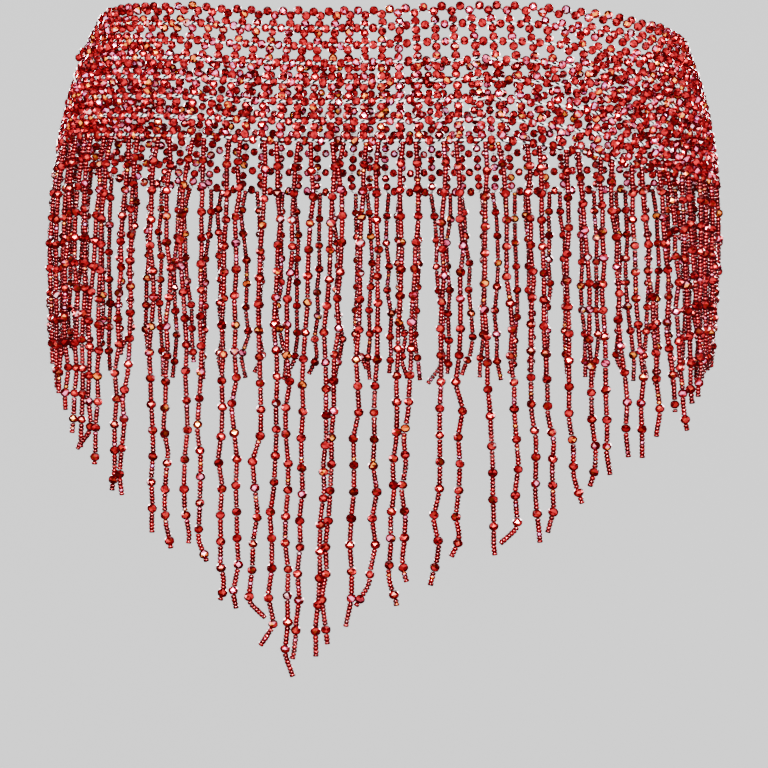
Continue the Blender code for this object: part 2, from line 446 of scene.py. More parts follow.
def add_piece(name, mesh, material, slot, *nodes):
    """Links a mesh as a piece that rides on the belt's one body and stands for these solids."""
    mesh.name = name
    mesh.materials.append(material)
    piece = add_object(name, mesh)
    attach(piece, BODY)
    if nodes:
        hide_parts(*nodes)
    return piece


# ------------------------------------------------------------------ materials

BUMP_HEIGHT = 0.0001


def node(tree, kind, **inputs):
    made = tree.nodes.new(kind)
    feed(tree, made, **inputs)
    return made


def feed(tree, made, **inputs):
    """Fills a node's inputs, given by name as values or as the sockets that feed them."""
    for name, value in inputs.items():
        fill(tree, made.inputs[name.replace("_", " ")], value)


def fill(tree, socket, value):
    if isinstance(value, bpy.types.NodeSocket):
        tree.links.new(value, socket)
    else:
        socket.default_value = value


def maths(tree, operation, first, second):
    made = tree.nodes.new("ShaderNodeMath")
    made.operation = operation
    fill(tree, made.inputs[0], first)
    fill(tree, made.inputs[1], second)
    return made.outputs[0]


def mix_colours(tree, share, first, second):
    made = tree.nodes.new("ShaderNodeMix")
    made.data_type = "RGBA"
    fill(tree, made.inputs["Factor"], share)
    fill(tree, made.inputs[6], first)
    fill(tree, made.inputs[7], second)
    return made.outputs[2]


def spread(tree, value, low, high, to_low=0.0, to_high=1.0):
    """A value mapped smoothly from one range to another."""
    made = node(
        tree, "ShaderNodeMapRange", Value=value, From_Min=low, From_Max=high, To_Min=to_low, To_Max=to_high)
    made.interpolation_type = "SMOOTHSTEP"
    return made.outputs["Result"]


def about(tree, value, middle, scale):
    """How far a value is from a middle, scaled."""
    return maths(tree, "MULTIPLY", maths(tree, "SUBTRACT", value, middle), scale)


def attribute(tree, name):
    made = tree.nodes.new("ShaderNodeAttribute")
    made.attribute_name = name
    return made.outputs["Fac"]


def new_group(name, inputs, outputs):
    """A shader node group with named sockets, each (name, kind, default)."""
    group = bpy.data.node_groups.new(name, "ShaderNodeTree")
    for direction, sockets in (("INPUT", inputs), ("OUTPUT", outputs)):
        for label, kind, *default in sockets:
            made = group.interface.new_socket(label, in_out=direction, socket_type="NodeSocket" + kind)
            if default:
                made.default_value = default[0]
    return group, group.nodes.new("NodeGroupInput").outputs, group.nodes.new("NodeGroupOutput").inputs


# The tones over which glass turns from deep to body and from body to bright, and how far its beads differ.
DEEP_TO_BODY, BODY_TO_BRIGHT = (0.10, 0.48), (0.50, 0.85)
BEAD_PLAY = 0.35


def glass_depth_group():
    """The glass's own colour, a little lighter or deeper for each bead and for each of its facets."""
    group, given, put = new_group(
        "Glass depth",
        [("Deep", "Color"), ("Body", "Color"), ("Bright", "Color"), ("Bead", "Float"), ("Facet", "Float"),
         ("Play", "Float", 0.65), ("Tone", "Float", 0.5)],
        [("Colour", "Color")],
    )
    bead = about(group, given["Bead"], 0.5, BEAD_PLAY)
    facet = about(group, given["Facet"], 0.5, given["Play"])
    tone = maths(group, "ADD", maths(group, "ADD", bead, facet), given["Tone"])
    colour = mix_colours(group, spread(group, tone, *DEEP_TO_BODY), given["Deep"], given["Body"])
    colour = mix_colours(group, spread(group, tone, *BODY_TO_BRIGHT), colour, given["Bright"])
    group.links.new(colour, put["Colour"])
    return group


# Which facets of a coated bead take the lustre, where in the coat's hues each colour gives way to the next,
# how far the facets of one bead differ in hue, and the hue to which warmth draws them.
COATED_FACETS = (0.28, 0.42)
ROSE_TO_WARM, WARM_TO_PALE, PALE_TO_VIOLET = (0.50, 0.56), (0.80, 0.84), (0.90, 0.96)
FACET_MIDDLE, FACET_HUES = 0.6, 0.35
WARM_MIDDLE = 0.68


def lustre_group():
    """The rainbow coat: which facets of which beads flash, and in which of its colours."""
    group, given, put = new_group(
        "Rainbow lustre",
        [("Share", "Float", 0.3), ("Warm", "Color"), ("Rose", "Color"), ("Violet", "Color"),
         ("Pale", "Color"), ("Warmth", "Float"), ("Lustre", "Float"), ("Facet", "Float")],
        [("Colour", "Color"), ("Mask", "Float")],
    )
    start = maths(group, "SUBTRACT", 1.0, given["Share"])
    place = maths(group, "DIVIDE", maths(group, "SUBTRACT", given["Lustre"], start), given["Share"])
    coated = spread(group, place, -0.02, 0.0)
    facets = spread(group, given["Facet"], *COATED_FACETS)
    group.links.new(maths(group, "MULTIPLY", coated, facets), put["Mask"])
    hue = maths(group, "ADD", place, about(group, given["Facet"], FACET_MIDDLE, FACET_HUES))
    hue = maths(group, "SUBTRACT", hue, about(group, hue, WARM_MIDDLE, given["Warmth"]))
    colour = mix_colours(group, spread(group, hue, *ROSE_TO_WARM), given["Rose"], given["Warm"])
    colour = mix_colours(group, spread(group, hue, *WARM_TO_PALE), colour, given["Pale"])
    colour = mix_colours(group, spread(group, hue, *PALE_TO_VIOLET), colour, given["Violet"])
    group.links.new(colour, put["Colour"])
    return group


def polish_group():
    """Fine unevenness of a moulded or twisted surface, as a roughness and a height."""
    group, given, put = new_group(
        "Polish",
        [("Scale", "Float", 900.0), ("Smoothest", "Float", 0.05), ("Roughest", "Float", 0.2)],
        [("Roughness", "Float"), ("Height", "Float")],
    )
    coordinates = group.nodes.new("ShaderNodeTexCoord").outputs["Object"]
    noise = node(group, "ShaderNodeTexNoise", Vector=coordinates, Scale=given["Scale"], Detail=3.0)
    rough = node(
        group, "ShaderNodeMapRange", Value=noise.outputs["Fac"], From_Min=0.3, From_Max=0.7,
        To_Min=given["Smoothest"], To_Max=given["Roughest"])
    group.links.new(rough.outputs["Result"], put["Roughness"])
    group.links.new(noise.outputs["Fac"], put["Height"])
    return group


def placed_group(tree, name, maker, **inputs):
    made = tree.nodes.new("ShaderNodeGroup")
    made.node_tree = bpy.data.node_groups.get(name) or maker()
    feed(tree, made, **inputs)
    return made.outputs


def polished(tree, scale, smoothest, roughest):
    return placed_group(
        tree, "Polish", polish_group, Scale=scale, Smoothest=smoothest, Roughest=roughest)


def new_material(name):
    material = bpy.data.materials.new(name)
    material.use_nodes = True
    return material, material.node_tree, material.node_tree.nodes["Principled BSDF"]


def bumped(tree, height, strength):
    made = node(tree, "ShaderNodeBump", Height=height, Distance=BUMP_HEIGHT, Strength=strength)
    return made.outputs["Normal"]


# How the glass of one kind of bead differs: the scale of its polish, how mirror-like it is, how far its
# facets differ in tone and from which tone, how far a facet turns from the eye before the painted shade at
# its rim is deepest, how much of the highlight painted in its middle shows and in which colour, and how
# warm its lustre is.
Glass = namedtuple("Glass", "name scale mirror play tone rim heart glow warmth")
NET_GLASS = Glass("Net glass", 900.0, 0.62, 0.95, 0.54, 0.62, 0.08, "gathered_light", 0.0)
FRINGE_GLASS = Glass("Fringe glass", 900.0, 0.62, 0.85, 0.43, 0.56, 0.10, "warm_lustre", 0.4)
SEED_GLASS = Glass("Seed glass", 1400.0, 0.60, 0.28, 0.26, 0.62, 0.28, "gathered_light", 0.0)
# How dark the painted shade at a bead's rim gets.
RIM_SHADE_DEPTH = 0.93
GLASS_ROUGHNESS = (0.10, 0.20)
SPECULAR_TINT = (1.0, 0.6, 0.66, 1.0)

# How far a facet turns from the eye where its lustre begins to show as a painted glint and where it shows in
# full, the same for the paler heart painted into a glint and for the highlight painted into a bead's middle,
# and how much a glint takes from the mirror.
PAINTED_GLINT_TURN, GLINT_HEART_TURN, HIGHLIGHT_TURN = (0.18, 0.07), (0.14, 0.04), (0.07, 0.01)
GLINT_HEART_GAMMA = 0.6
GLINT_DULLS = 0.25


def glass_material(kind, colours, share):
    """Red glass with a rainbow lustre on a share of its beads, with painted glints, highlights and rim
    shade.
    """
    if kind.name in bpy.data.materials:
        return bpy.data.materials[kind.name]
    material, tree, shader = new_material(kind.name)
    bead, lustre, facet = (attribute(tree, value) for value in ("bead", "lustre", "facet"))
    glass = placed_group(
        tree, "Glass depth", glass_depth_group, Deep=colours.deep_glass_and_rim_shade, Body=colours.body_glass,
        Bright=colours.bright_glass, Bead=bead, Facet=facet, Play=kind.play, Tone=kind.tone)
    coat = placed_group(
        tree, "Rainbow lustre", lustre_group, Share=share, Warm=colours.warm_lustre,
        Rose=colours.rose_lustre, Violet=colours.violet_lustre, Pale=colours.pale_lustre,
        Warmth=kind.warmth, Lustre=lustre, Facet=facet)
    polish = polished(tree, kind.scale, *GLASS_ROUGHNESS)
    facing = tree.nodes.new("ShaderNodeLayerWeight").outputs["Facing"]
    # Painted glint: the lustre's colour shows only on facets that face the eye.
    flash = maths(tree, "MULTIPLY", coat["Mask"], spread(tree, facing, *PAINTED_GLINT_TURN))
    # Painted highlight: the glint turns paler where a facet faces the eye most.
    heart = node(tree, "ShaderNodeGamma", Color=coat["Colour"], Gamma=GLINT_HEART_GAMMA).outputs["Color"]
    coat_and_glint_colour = mix_colours(tree, spread(tree, facing, *GLINT_HEART_TURN), coat["Colour"], heart)
    # Painted shade: the glass deepens towards each bead's rim as the facet turns from the eye.
    rim = spread(tree, facing, 0.0, kind.rim, 0.0, RIM_SHADE_DEPTH)
    colour = mix_colours(tree, rim, glass["Colour"], tuple(colours.deep_glass_and_rim_shade))
    # Painted highlight: a light colour in the middle of each bead, where it faces the eye.
    highlight_mask = maths(tree, "MULTIPLY", spread(tree, facing, *HIGHLIGHT_TURN), kind.heart)
    colour = mix_colours(tree, highlight_mask, colour, tuple(getattr(colours, kind.glow)))
    dulled = maths(tree, "MULTIPLY", flash, GLINT_DULLS)
    feed(
        tree, shader, Base_Color=mix_colours(tree, flash, colour, coat_and_glint_colour),
        Metallic=maths(tree, "SUBTRACT", kind.mirror, dulled), Roughness=polish["Roughness"],
        Normal=bumped(tree, polish["Height"], 0.25), IOR=1.52, Specular_IOR_Level=0.3,
        Specular_Tint=SPECULAR_TINT, Coat_Weight=0.25, Coat_Roughness=0.05)
    return material


def cord_material(name, colour, groove_shade, roughness):
    """Twisted thread or elastic: fine slanted strands, with painted shade in the grooves between them."""
    if name in bpy.data.materials:
        return bpy.data.materials[name]
    material, tree, shader = new_material(name)
    coordinates = tree.nodes.new("ShaderNodeTexCoord").outputs["Object"]
    wave = node(tree, "ShaderNodeTexWave", Vector=coordinates, Scale=700.0, Distortion=2.0, Detail=1.0)
    wave.bands_direction = "DIAGONAL"
    strands = wave.outputs["Fac"]
    polish = polished(tree, 1500.0, roughness * 0.8, min(1.0, roughness * 1.2))
    # The strand pattern mixes in the painted groove shade between the strands.
    feed(
        tree, shader, Base_Color=mix_colours(tree, strands, groove_shade, colour), Roughness=polish["Roughness"],
        Normal=bumped(tree, strands, 0.4), Specular_IOR_Level=0.12)
    return material


# Each cord's second colour is the painted shade in its grooves.
def elastic_material(colours):
    return cord_material("Elastic", colours.elastic, (0.85, 0.85, 0.85, 1.0), 0.45)


def knot_material(colours):
    return cord_material("Knot thread", colours.knot, (0.002, 0.002, 0.002, 1.0), 0.8)


def thread_material(colours):
    return cord_material("Stringing thread", colours.thread, (0.05, 0.003, 0.004, 1.0), 0.6)


def floor_material(colour):
    """A pale studio floor, lit evenly from within so that its rim and its middle look the same."""
    material, tree, shader = new_material("Pale floor")
    polish = polished(tree, 4.0, 0.65, 0.8)
    even, mottled = ((*(channel * share for channel in colour[:3]), 1.0) for share in (0.25, 0.23))
    feed(
        tree, shader, Base_Color=mix_colours(tree, polish["Height"], even, mottled),
        Roughness=polish["Roughness"], Emission_Color=colour, Emission_Strength=1.45)
    return material


# ------------------------------------------------------------------ what a user would change

def length_property(name, description, default, low, high):
    return FloatProperty(
        name=name, description=description, default=default, min=low, max=high, unit="LENGTH")


def share_property(name, description, default, high=1.0):
    return FloatProperty(
        name=name, description=description, default=default, min=0.0, max=high, subtype="FACTOR")


def colour_property(name, description, red, green, blue):
    return FloatVectorProperty(
        name=name, description=description, default=(red, green, blue, 1.0), size=4, min=0.0, max=1.0,
        subtype="COLOR")


class HipBeltSizes(PropertyGroup):
    bead: length_property("Net bead", "Diameter of a faceted bead in the net", 0.0047, 0.002, 0.006)
    fringe_bead: length_property(
        "Fringe bead", "Diameter of a faceted bead in the fringe", 0.0051, 0.002, 0.006)
    bead_length: length_property("Bead length", "Length of a faceted bead", 0.00423, 0.002, 0.005)
    seed: length_property("Seed bead", "Diameter of a seed bead", 0.0030, 0.001, 0.004)
    seed_length: length_property("Seed length", "Length of a seed bead", 0.00172, 0.001, 0.003)
    elastic: length_property("Elastic", "Diameter of one elastic strand", 0.00075, 0.0003, 0.0015)
    thread: length_property("Thread", "Diameter of the stringing thread", 0.0004, 0.0002, 0.001)
    knot: length_property("Knot", "Thickness of a thread knot", 0.0013, 0.0003, 0.002)
    looseness: length_property("Looseness", "How far beads stray from their places", 0.0010, 0.0, 0.003)


class HipBeltColours(PropertyGroup):
    # Deep glass is also the colour of the painted shade at each bead's rim.
    deep_glass_and_rim_shade: colour_property("Deep glass", "Red where the glass is darkest", 0.05, 0.0, 0.001)
    body_glass: colour_property("Body glass", "Red of most of the glass", 0.33, 0.004, 0.009)
    bright_glass: colour_property("Bright glass", "Red where light gathers", 0.86, 0.022, 0.036)
    # The colour of the highlight painted in the middle of a bead.
    gathered_light: colour_property(
        "Gathered light", "Light that gathers in the middle of a bead", 1.0, 0.10, 0.11)
    # Warm lustre is also the colour of the highlight painted in the middle of a fringe bead.
    warm_lustre: colour_property("Warm lustre", "Orange of the rainbow coat", 1.0, 0.15, 0.003)
    rose_lustre: colour_property("Rose lustre", "Rose of the rainbow coat", 1.0, 0.08, 0.26)
    violet_lustre: colour_property("Violet lustre", "Violet of the rainbow coat", 1.0, 0.18, 0.68)
    pale_lustre: colour_property("Pale lustre", "Near white of the rainbow coat", 1.0, 0.42, 0.55)
    elastic: colour_property("Elastic", "White of the elastic", 0.95, 0.95, 0.94)
    knot: colour_property("Knots", "Black of the knots", 0.012, 0.011, 0.012)
    thread: colour_property("Thread", "Dark red of the stringing thread", 0.16, 0.008, 0.012)
    bead_share: share_property("Lustre on the net", "Share of the net's beads that flash", 0.34)
    fringe_share: share_property(
        "Lustre on the fringe", "Share of the fringe's faceted beads that flash", 0.2)
    seed_share: share_property("Lustre on seeds", "Share of the seed beads that flash", 0.06)


class HipBeltStage(PropertyGroup):
    floor: colour_property("Floor", "Colour of the floor", 0.86, 0.86, 0.86)
    drop: length_property("Floor drop", "Height of the belt's middle over the floor", 0.92, 0.32, 1.2)
    azimuth: FloatProperty(
        name="Camera azimuth", description="Angle of the camera round from the centre back",
        default=math.radians(14.3), subtype="ANGLE")
    distance: length_property("Camera distance", "From the belt's axis to the camera", 2.1, 1.0, 6.0)
    eye_drop: length_property(
        "Eye drop", "Depth of the camera under the belt's middle", 0.2455, -1.0, 1.0)
    light: share_property("Light", "Share of each lamp's power", 1.0, 4.0)


# ------------------------------------------------------------------ the pieces

def sizes_of(context):
    return context.scene.hip_belt_sizes, context.scene.hip_belt_colours


class HIPBELT_OT_net_beads(Operator):
    """String the net's beads: two on each upright, one on each crossbar, and the picots along the top"""

    bl_idname = "hip_belt.net_beads"
    bl_label = "Net beads"

    def execute(self, context):
        sizes, colours = sizes_of(context)
        rng = np.random.default_rng(NET_DRAW)
        pair, height = crossings(sizes)
        beads = []
        for row in range(CELLS_HIGH):
            cell = LOWER_CELL if row < LOWER_CELLS else UPPER_CELL
            from_middle = sizes.bead_length * FROM_MIDDLE / cell
            for share in (0.5 - from_middle, 0.5 + from_middle):
                beads.append(self.upright_beads(sizes, rng, pair[row:row + 2], height[row:row + 2], share))
        for row in range(1, CELLS_HIGH + 1):
            beads.append(self.crossbar_beads(sizes, rng, pair[row], height[row]))
        mesh = string_beads(faceted_bead(sizes.bead, sizes.bead_length), beads, rng)
        glass = glass_material(NET_GLASS, colours, colours.bead_share)
        piece = add_piece("net_beads", mesh, glass, "net_beads", NET_NODE)
        return {"FINISHED"}

    def upright_beads(self, sizes, rng, pair, height, share):
        """One of the two beads between two rows, on every upright."""
        middle_pair = pair[0] + (pair[1] - pair[0]) * share
        middle_height = height[0] + (height[1] - height[0]) * share
        stray = rng.normal(0, sizes.looseness * UPRIGHT_STRAY, (2, CELLS_AROUND, 1))
        place, along, _, out = net_frame(middle_pair, middle_height)
        run = net_point(pair[1], height[1]) - net_point(pair[0], height[0])
        axes = strayed_axes(rng, run, along, out, UPRIGHT_TILT)
        return place + along * stray[0] + out * stray[1], axes

    def crossbar_beads(self, sizes, rng, pair, height):
        """The beads along one row, each in the middle of its cell."""
        next_pair = np.roll(pair, -1)
        next_pair[-1] += PAIRS
        slide = rng.normal(0, sizes.looseness * BAR_SLIDE, CELLS_AROUND) / GIRTH * PAIRS
        rise, stray = rng.normal(0, sizes.looseness * BEAD_STRAY, (2, CELLS_AROUND))
        middle_height = (height + np.roll(height, -1)) / 2
        place, along, up, out = net_frame((pair + next_pair) / 2 + slide, middle_height + rise)
        return place + out * stray[:, None], strayed_axes(rng, along, up, out, BAR_TILT)


def row_line(pair, height, points_in_cell):
    """Places along a row through its crossings, and how far through its cell each place is."""
    step = np.arange(CELLS_AROUND * points_in_cell)
    cell, through = step // points_in_cell, (step % points_in_cell) / points_in_cell
    after = (cell + 1) % CELLS_AROUND
    turn = np.where(after == 0, PAIRS, 0)
    line_pair = pair[cell] + (pair[after] + turn - pair[cell]) * through
    line_height = height[cell] + (height[after] - height[cell]) * through
    return line_pair, line_height, through


def slant_at(pair):
    """Which way the strands cross at a knot: 1 where they fall towards the wearer's right, or -1."""
    pair = np.mod(pair, PAIRS)
    return np.where((pair > SLANT_TURNS) & (pair < PAIRS / 2), 1, -1)


class HIPBELT_OT_net_elastic(Operator):
    """Run each row's two elastic strands through its beads, crossing at the uprights, and tie the knots"""

    bl_idname = "hip_belt.net_elastic"
    bl_label = "Net elastic and knots"

    def execute(self, context):
        sizes, colours = sizes_of(context)
        pair, height = crossings(sizes)
        rng = np.random.default_rng(ELASTIC_DRAW)
        tubes = []
        for row in range(1, CELLS_HIGH):
            tubes += self.row_of_elastic(sizes, rng, pair[row], height[row])
        add_piece("net_elastic", joined_tubes(*tubes), elastic_material(colours), "elastic", NET_NODE)
        self.make_knots(sizes, colours, pair[:-1].ravel(), height[:-1].ravel())
        self.make_threads(sizes, colours, pair, height)
        return {"FINISHED"}

    def row_of_elastic(self, sizes, rng, pair, height):
        """Two strands that part round each knot: of each, half comes forward and half passes behind."""
        line_pair, line_height, through = row_line(pair, height, STEPS_IN_CELL)
        from_knot = through - np.round(through)
        slant = slant_at(line_pair)
        unevenness = rng.normal(1, PARTING_SPREAD, (2, CELLS_AROUND))
        cell = np.round(np.arange(len(through)) / STEPS_IN_CELL).astype(int) % CELLS_AROUND
        place, _, up, out = net_frame(line_pair, line_height)
        found = []
        for rise, uneven in zip((1, -1), unevenness):
            side = rise * slant
            near = np.clip(1 - np.abs(from_knot - CROSSING_SHIFT * side) / ELASTIC_OPENS, 0, 1)
            forward = np.clip(from_knot * side * CROSSING_STEEPNESS, BEHIND, IN_FRONT) * near + PROUD
            parted = rise * near * uneven[cell] * PARTED
            line = place + (up * parted[:, None] + out * forward[:, None]) * sizes.elastic
            found.append(sweep_lines(line[None], out[None], sizes.elastic / 2, 5, True))
        return found

    def make_knots(self, sizes, colours, pair, height):
        """A slanted knot of black thread on the outside of each crossing, between the elastic strands."""
        rng = np.random.default_rng(KNOTS_DRAW)
        place, along, up, out = net_frame(pair, height)
        many = len(place)
        slope = rng.normal(KNOT_SLOPE, KNOT_SLOPE_SPREAD, many) * -slant_at(pair)
        axis = along + up * slope[:, None] + out * rng.normal(0, KNOT_TILT, (many, 1))
        slide = rng.normal(0, sizes.looseness * BEAD_STRAY, (many, 1))
        place = place + out * sizes.elastic * KNOT_PROUD + along * slide
        knots = [(place, bead_axes(axis, out, np.zeros(many)))]
        mesh = string_beads(knot_bead(sizes.knot), knots, rng, True)
        add_piece("net_knots", mesh, knot_material(colours), "knot_thread", NET_NODE)

    def make_threads(self, sizes, colours, pair, height):
        """The thread up each upright, and the one that hops from upright to picot round the top."""
        place, _, _, out = net_frame(pair, height)
        lines, outs = (part.swapaxes(0, 1)[:, :-1] for part in (place, out))
        uprights = sweep_lines(lines, outs, sizes.thread / 2, 4, False)
        line_pair, line_height, through = row_line(pair[-1], height[-1], 4)
        dip = UPPER_CELL * TOP_DIP * np.cos(math.pi * through) ** 2
        place, _, _, out = net_frame(line_pair, line_height - dip)
        top = sweep_lines(place[None], out[None], sizes.elastic / 2, 6, True)
        mesh = joined_tubes(uprights, top)
        add_piece("net_thread", mesh, thread_material(colours), "knot_thread", NET_NODE)


def strand_beads(sizes, rng, length):
    """A strand's beads: how far from the root each is along the thread, and whether it is a large one."""
    bead_length = sizes.bead_length + GROUP_SLACK
    start = sizes.elastic * ROW_PROUD
    large = [False] * int(rng.choice(SEEDS_AT_ROOT)) + [True]
    left = length - start - (len(large) - 1) * sizes.seed_length - bead_length
    while True:
        seeds = SEEDS_IN_GROUP + int(rng.random() < EXTRA_SEED_CHANCE)
        group = seeds * sizes.seed_length + bead_length
        if left < group + FEWEST_AT_END * sizes.seed_length:
            break
        large += [False] * seeds + [True]
        left -= group
    end_seeds = min(MOST_AT_END, max(FEWEST_AT_END, round(left / sizes.seed_length)))
    large = np.array(large + [False] * end_seeds)
    lengths = np.where(large, bead_length, sizes.seed_length)
    return start + np.cumsum(lengths) - lengths / 2, large


def hang_of(strand, rng):
    """How a strand hangs: as HANGS says, or a little at random."""
    for hang in HANGS:
        if hang.strand == strand:
            return hang
    return Hang(strand, rng.normal(2, 3), rng.normal(0, 2), rng.choice(OTHER_HOOKS))


def hang_strand(rng, pair, side, hang, distances):
    """Where each point along a strand hangs: nearly straight down, slightly bent at each large bead."""
    length = distances[-1]
    steps = np.linspace(0, length, STEPS_IN_STRAND)
    corners = np.arange(0, length + 2 * GROUP_LENGTH, GROUP_LENGTH)
    lean, swing = rng.normal(0, BEND_AT_BEAD, (2, len(corners)))
    swing *= OUTWARD_SHARE
    lean *= np.interp(
        corners, [0, length - LOOSE_LENGTH, length], [BEND_AT_ROOT, BEND_ABOVE_END, BEND_AT_END])
    lean -= SPRING_BACK * np.roll(lean, 1)
    blend = np.clip((steps / GROUP_LENGTH) % 1 * 4, 0, 1)
    place = (steps / GROUP_LENGTH).astype(int)
    before = np.maximum(0, place - 1)
    lean, swing = (values[before] * (1 - blend) + values[place] * blend for values in (lean, swing))
    gap = np.diff(steps, prepend=0)
    share = steps / length
    sideways = np.cumsum(np.sin(lean) * gap)
    sideways += (hang.sway * MM - sideways[-1]) * share**SWAY_POWER
    outward = np.cumsum(np.sin(swing) * gap)
    outward += (END_STANDS_OUT - outward[-1]) * share - hang.inward * MM * share**CURL_POWER
    loose = np.clip((steps - length + HOOK_LENGTH) / (HOOK_LENGTH * HOOK_BEND), 0, 1)
    turn = math.radians(hang.hook) * loose
    sideways += np.cumsum(np.sin(turn) * gap)
    depth = np.cumsum(np.cos(turn) * np.cos(lean) * gap)
    found = [np.interp(distances, steps, values) for values in (depth, sideways, outward)]
    return strand_points(pair, side, *found)


def make_fringe(context, name, pairs, draw, node_name, seed_parts):
    """The strands, with their beads, of one run of pairs, and the bottom row's beads above them."""
    sizes, colours = sizes_of(context)
    rng = np.random.default_rng(draw)
    big, small, lines, line_outs = [], [], [], []
    for pair in pairs:
        for side in (-1, 1):
            strand = 2 * pair + (0 if side < 0 else 1)
            hang = hang_of(strand, rng)
            distances, large = strand_beads(sizes, rng, strand_length(strand) + hang.longer * MM)
            places, out = hang_strand(rng, pair, side, hang, np.concatenate([[0], distances]))
            axis = unit(np.gradient(places, axis=0)[1:])
            axis += rng.normal(0, STRAND_TILT, axis.shape) * large[:, None]
            axes = bead_axes(axis, out[1:], rng.uniform(0, math.tau, len(distances)))
            big.append((places[1:][large], axes[large]))
            small.append((pair, (places[1:][~large], axes[~large])))
            index = np.linspace(0, len(distances), THREAD_POINTS).round().astype(int)
            lines.append(places[index])
            line_outs.append(out[index])
    big.append(bottom_row_beads(sizes, rng, pairs))
    mesh = string_beads(faceted_bead(sizes.fringe_bead, sizes.bead_length), big, rng)
    glass = glass_material(FRINGE_GLASS, colours, colours.fringe_share)
    add_piece(name + "_beads", mesh, glass, "net_beads", node_name)
    glass = glass_material(SEED_GLASS, colours, colours.seed_share)
    for part, part_pairs in seed_parts.items():
        chosen = [beads for pair, beads in small if pair in part_pairs]
        mesh = string_beads(seed_bead(sizes.seed, sizes.seed_length), chosen, rng, True)
        add_piece(part, mesh, glass, "fringe_beads", node_name)
    mesh = joined_tubes(sweep_lines(np.array(lines), np.array(line_outs), sizes.thread / 2, 4, False))
    add_piece(name + "_thread", mesh, thread_material(colours), "knot_thread", node_name)


def bottom_row_beads(sizes, rng, pairs):
    """The bottom row's beads over a run of pairs: one that each pair hangs astride, and one between."""
    pair = np.arange(pairs[0], pairs[-1] + 1, 0.5)
    rise, stray = rng.normal(0, sizes.looseness * BEAD_STRAY, (2, len(pair)))
    place, along, up, out = net_frame(pair, rise)
    return place + out * stray[:, None], strayed_axes(rng, along, up, out, BOTTOM_TILT)


class HIPBELT_OT_back_fringe(Operator):
    """Hang the back fringe, whose strands lengthen towards the centre back"""

    bl_idname = "hip_belt.back_fringe"
    bl_label = "Back fringe"

    def execute(self, context):
        half = len(BACK_PAIRS) // 2 + 1
        parts = {"back_fringe_seeds_left": BACK_PAIRS[:half], "back_fringe_seeds_right": BACK_PAIRS[half:]}
        make_fringe(context, "back_fringe", BACK_PAIRS, BACK_DRAW, BACK_NODE, parts)
        return {"FINISHED"}


class HIPBELT_OT_front_fringe(Operator):
    """Hang the short, even front fringe"""

    bl_idname = "hip_belt.front_fringe"
    bl_label = "Front fringe"

    def execute(self, context):
        parts = {"front_fringe_seeds": FRONT_PAIRS}
        make_fringe(context, "front_fringe", FRONT_PAIRS, FRONT_DRAW, FRONT_NODE, parts)
        return {"FINISHED"}


class HIPBELT_OT_bottom_row(Operator):
    """Run the single elastic strand of the bottom row, which carries the fringe"""

    bl_idname = "hip_belt.bottom_row"
    bl_label = "Bottom row elastic"

    def execute(self, context):
        sizes, colours = sizes_of(context)
        pair, height = crossings(sizes)
        line_pair, line_height, through = row_line(pair[0], height[0], 8)
        near = np.cos(math.pi * through) ** 2
        place, _, _, out = net_frame(line_pair, line_height * near)
        line = place + out * (sizes.elastic * ROW_PROUD * near)[:, None]
        mesh = joined_tubes(sweep_lines(line[None], out[None], sizes.elastic * ROW_RADIUS, 6, True))
        material = elastic_material(colours)
        add_piece("bottom_row_elastic", mesh, material, "elastic", BACK_NODE, FRONT_NODE)
        return {"FINISHED"}


# Cut tails of elastic that stick out of the net: where each is along the pairs and up the rows, and how far
# it points along, up and out, in millimetres. Then how it leaves its knot and how it bends.
Tail = namedtuple("Tail", "pair row along up out")
TAILS = (
    Tail(0.75, 1, -1.0, 2.6, 1.6), Tail(1.75, 4, -1.2, 2.4, 1.8), Tail(-8.75, 3, -1.0, 3.6, 2.6),
    Tail(17.25, 2, 1.5, 2.0, 1.8), Tail(27.75, 4, -1.4, 2.4, 2.0), Tail(-14.25, 1, 1.2, -2.2, 2.2),
)
TAIL_STARTS = 0.0012
TAIL_POINTS, TAIL_TURN, TAIL_POWER = 9, 0.45, 1.4

# Beads that have slipped outward: the place along the pairs, the row and how far out, in millimetres.
SLIPPED_BEADS = ((-9.9, 4.7, 2.6), (-9.7, 5.0, 1.6))


class HIPBELT_OT_loose_ends(Operator):
    """Leave a few cut elastic tails standing out of the net, and two beads that have slipped outward"""

    bl_idname = "hip_belt.loose_ends"
    bl_label = "Loose ends"

    def execute(self, context):
        sizes, colours = sizes_of(context)
        heights = row_heights()
        mesh = joined_tubes(*(self.tail(sizes, heights, tail) for tail in TAILS))
        add_piece("loose_tails", mesh, elastic_material(colours), "elastic", NET_NODE)
        rng = np.random.default_rng(SLIPPED_DRAW)
        pair, row, reach = np.array(SLIPPED_BEADS).T
        place, along, up, out = net_frame(pair, np.interp(row, np.arange(len(heights)), heights))
        axes = bead_axes(up + along * 0.5, out, rng.uniform(0, math.tau, len(pair)))
        beads = [(place + out * reach[:, None] * MM, axes)]
        mesh = string_beads(faceted_bead(sizes.bead, sizes.bead_length), beads, rng)
        glass = glass_material(NET_GLASS, colours, colours.bead_share)
        add_piece("slipped_beads", mesh, glass, "net_beads", NET_NODE)
        return {"FINISHED"}

    def tail(self, sizes, heights, tail):
        """One tail: it leaves its knot outward and bends round."""
        place, along, up, out = net_frame(np.array([tail.pair]), np.array([heights[tail.row]]))
        share = np.linspace(0, 1, TAIL_POINTS)[:, None]
        line = place + out * (TAIL_STARTS + tail.out * MM * np.sin(share * math.pi * TAIL_TURN))
        line = line + (along * tail.along + up * tail.up) * MM * share**TAIL_POWER
        side = np.broadcast_to(along, line.shape)
        return sweep_lines(line[None], side[None], sizes.elastic / 2, 6, False)


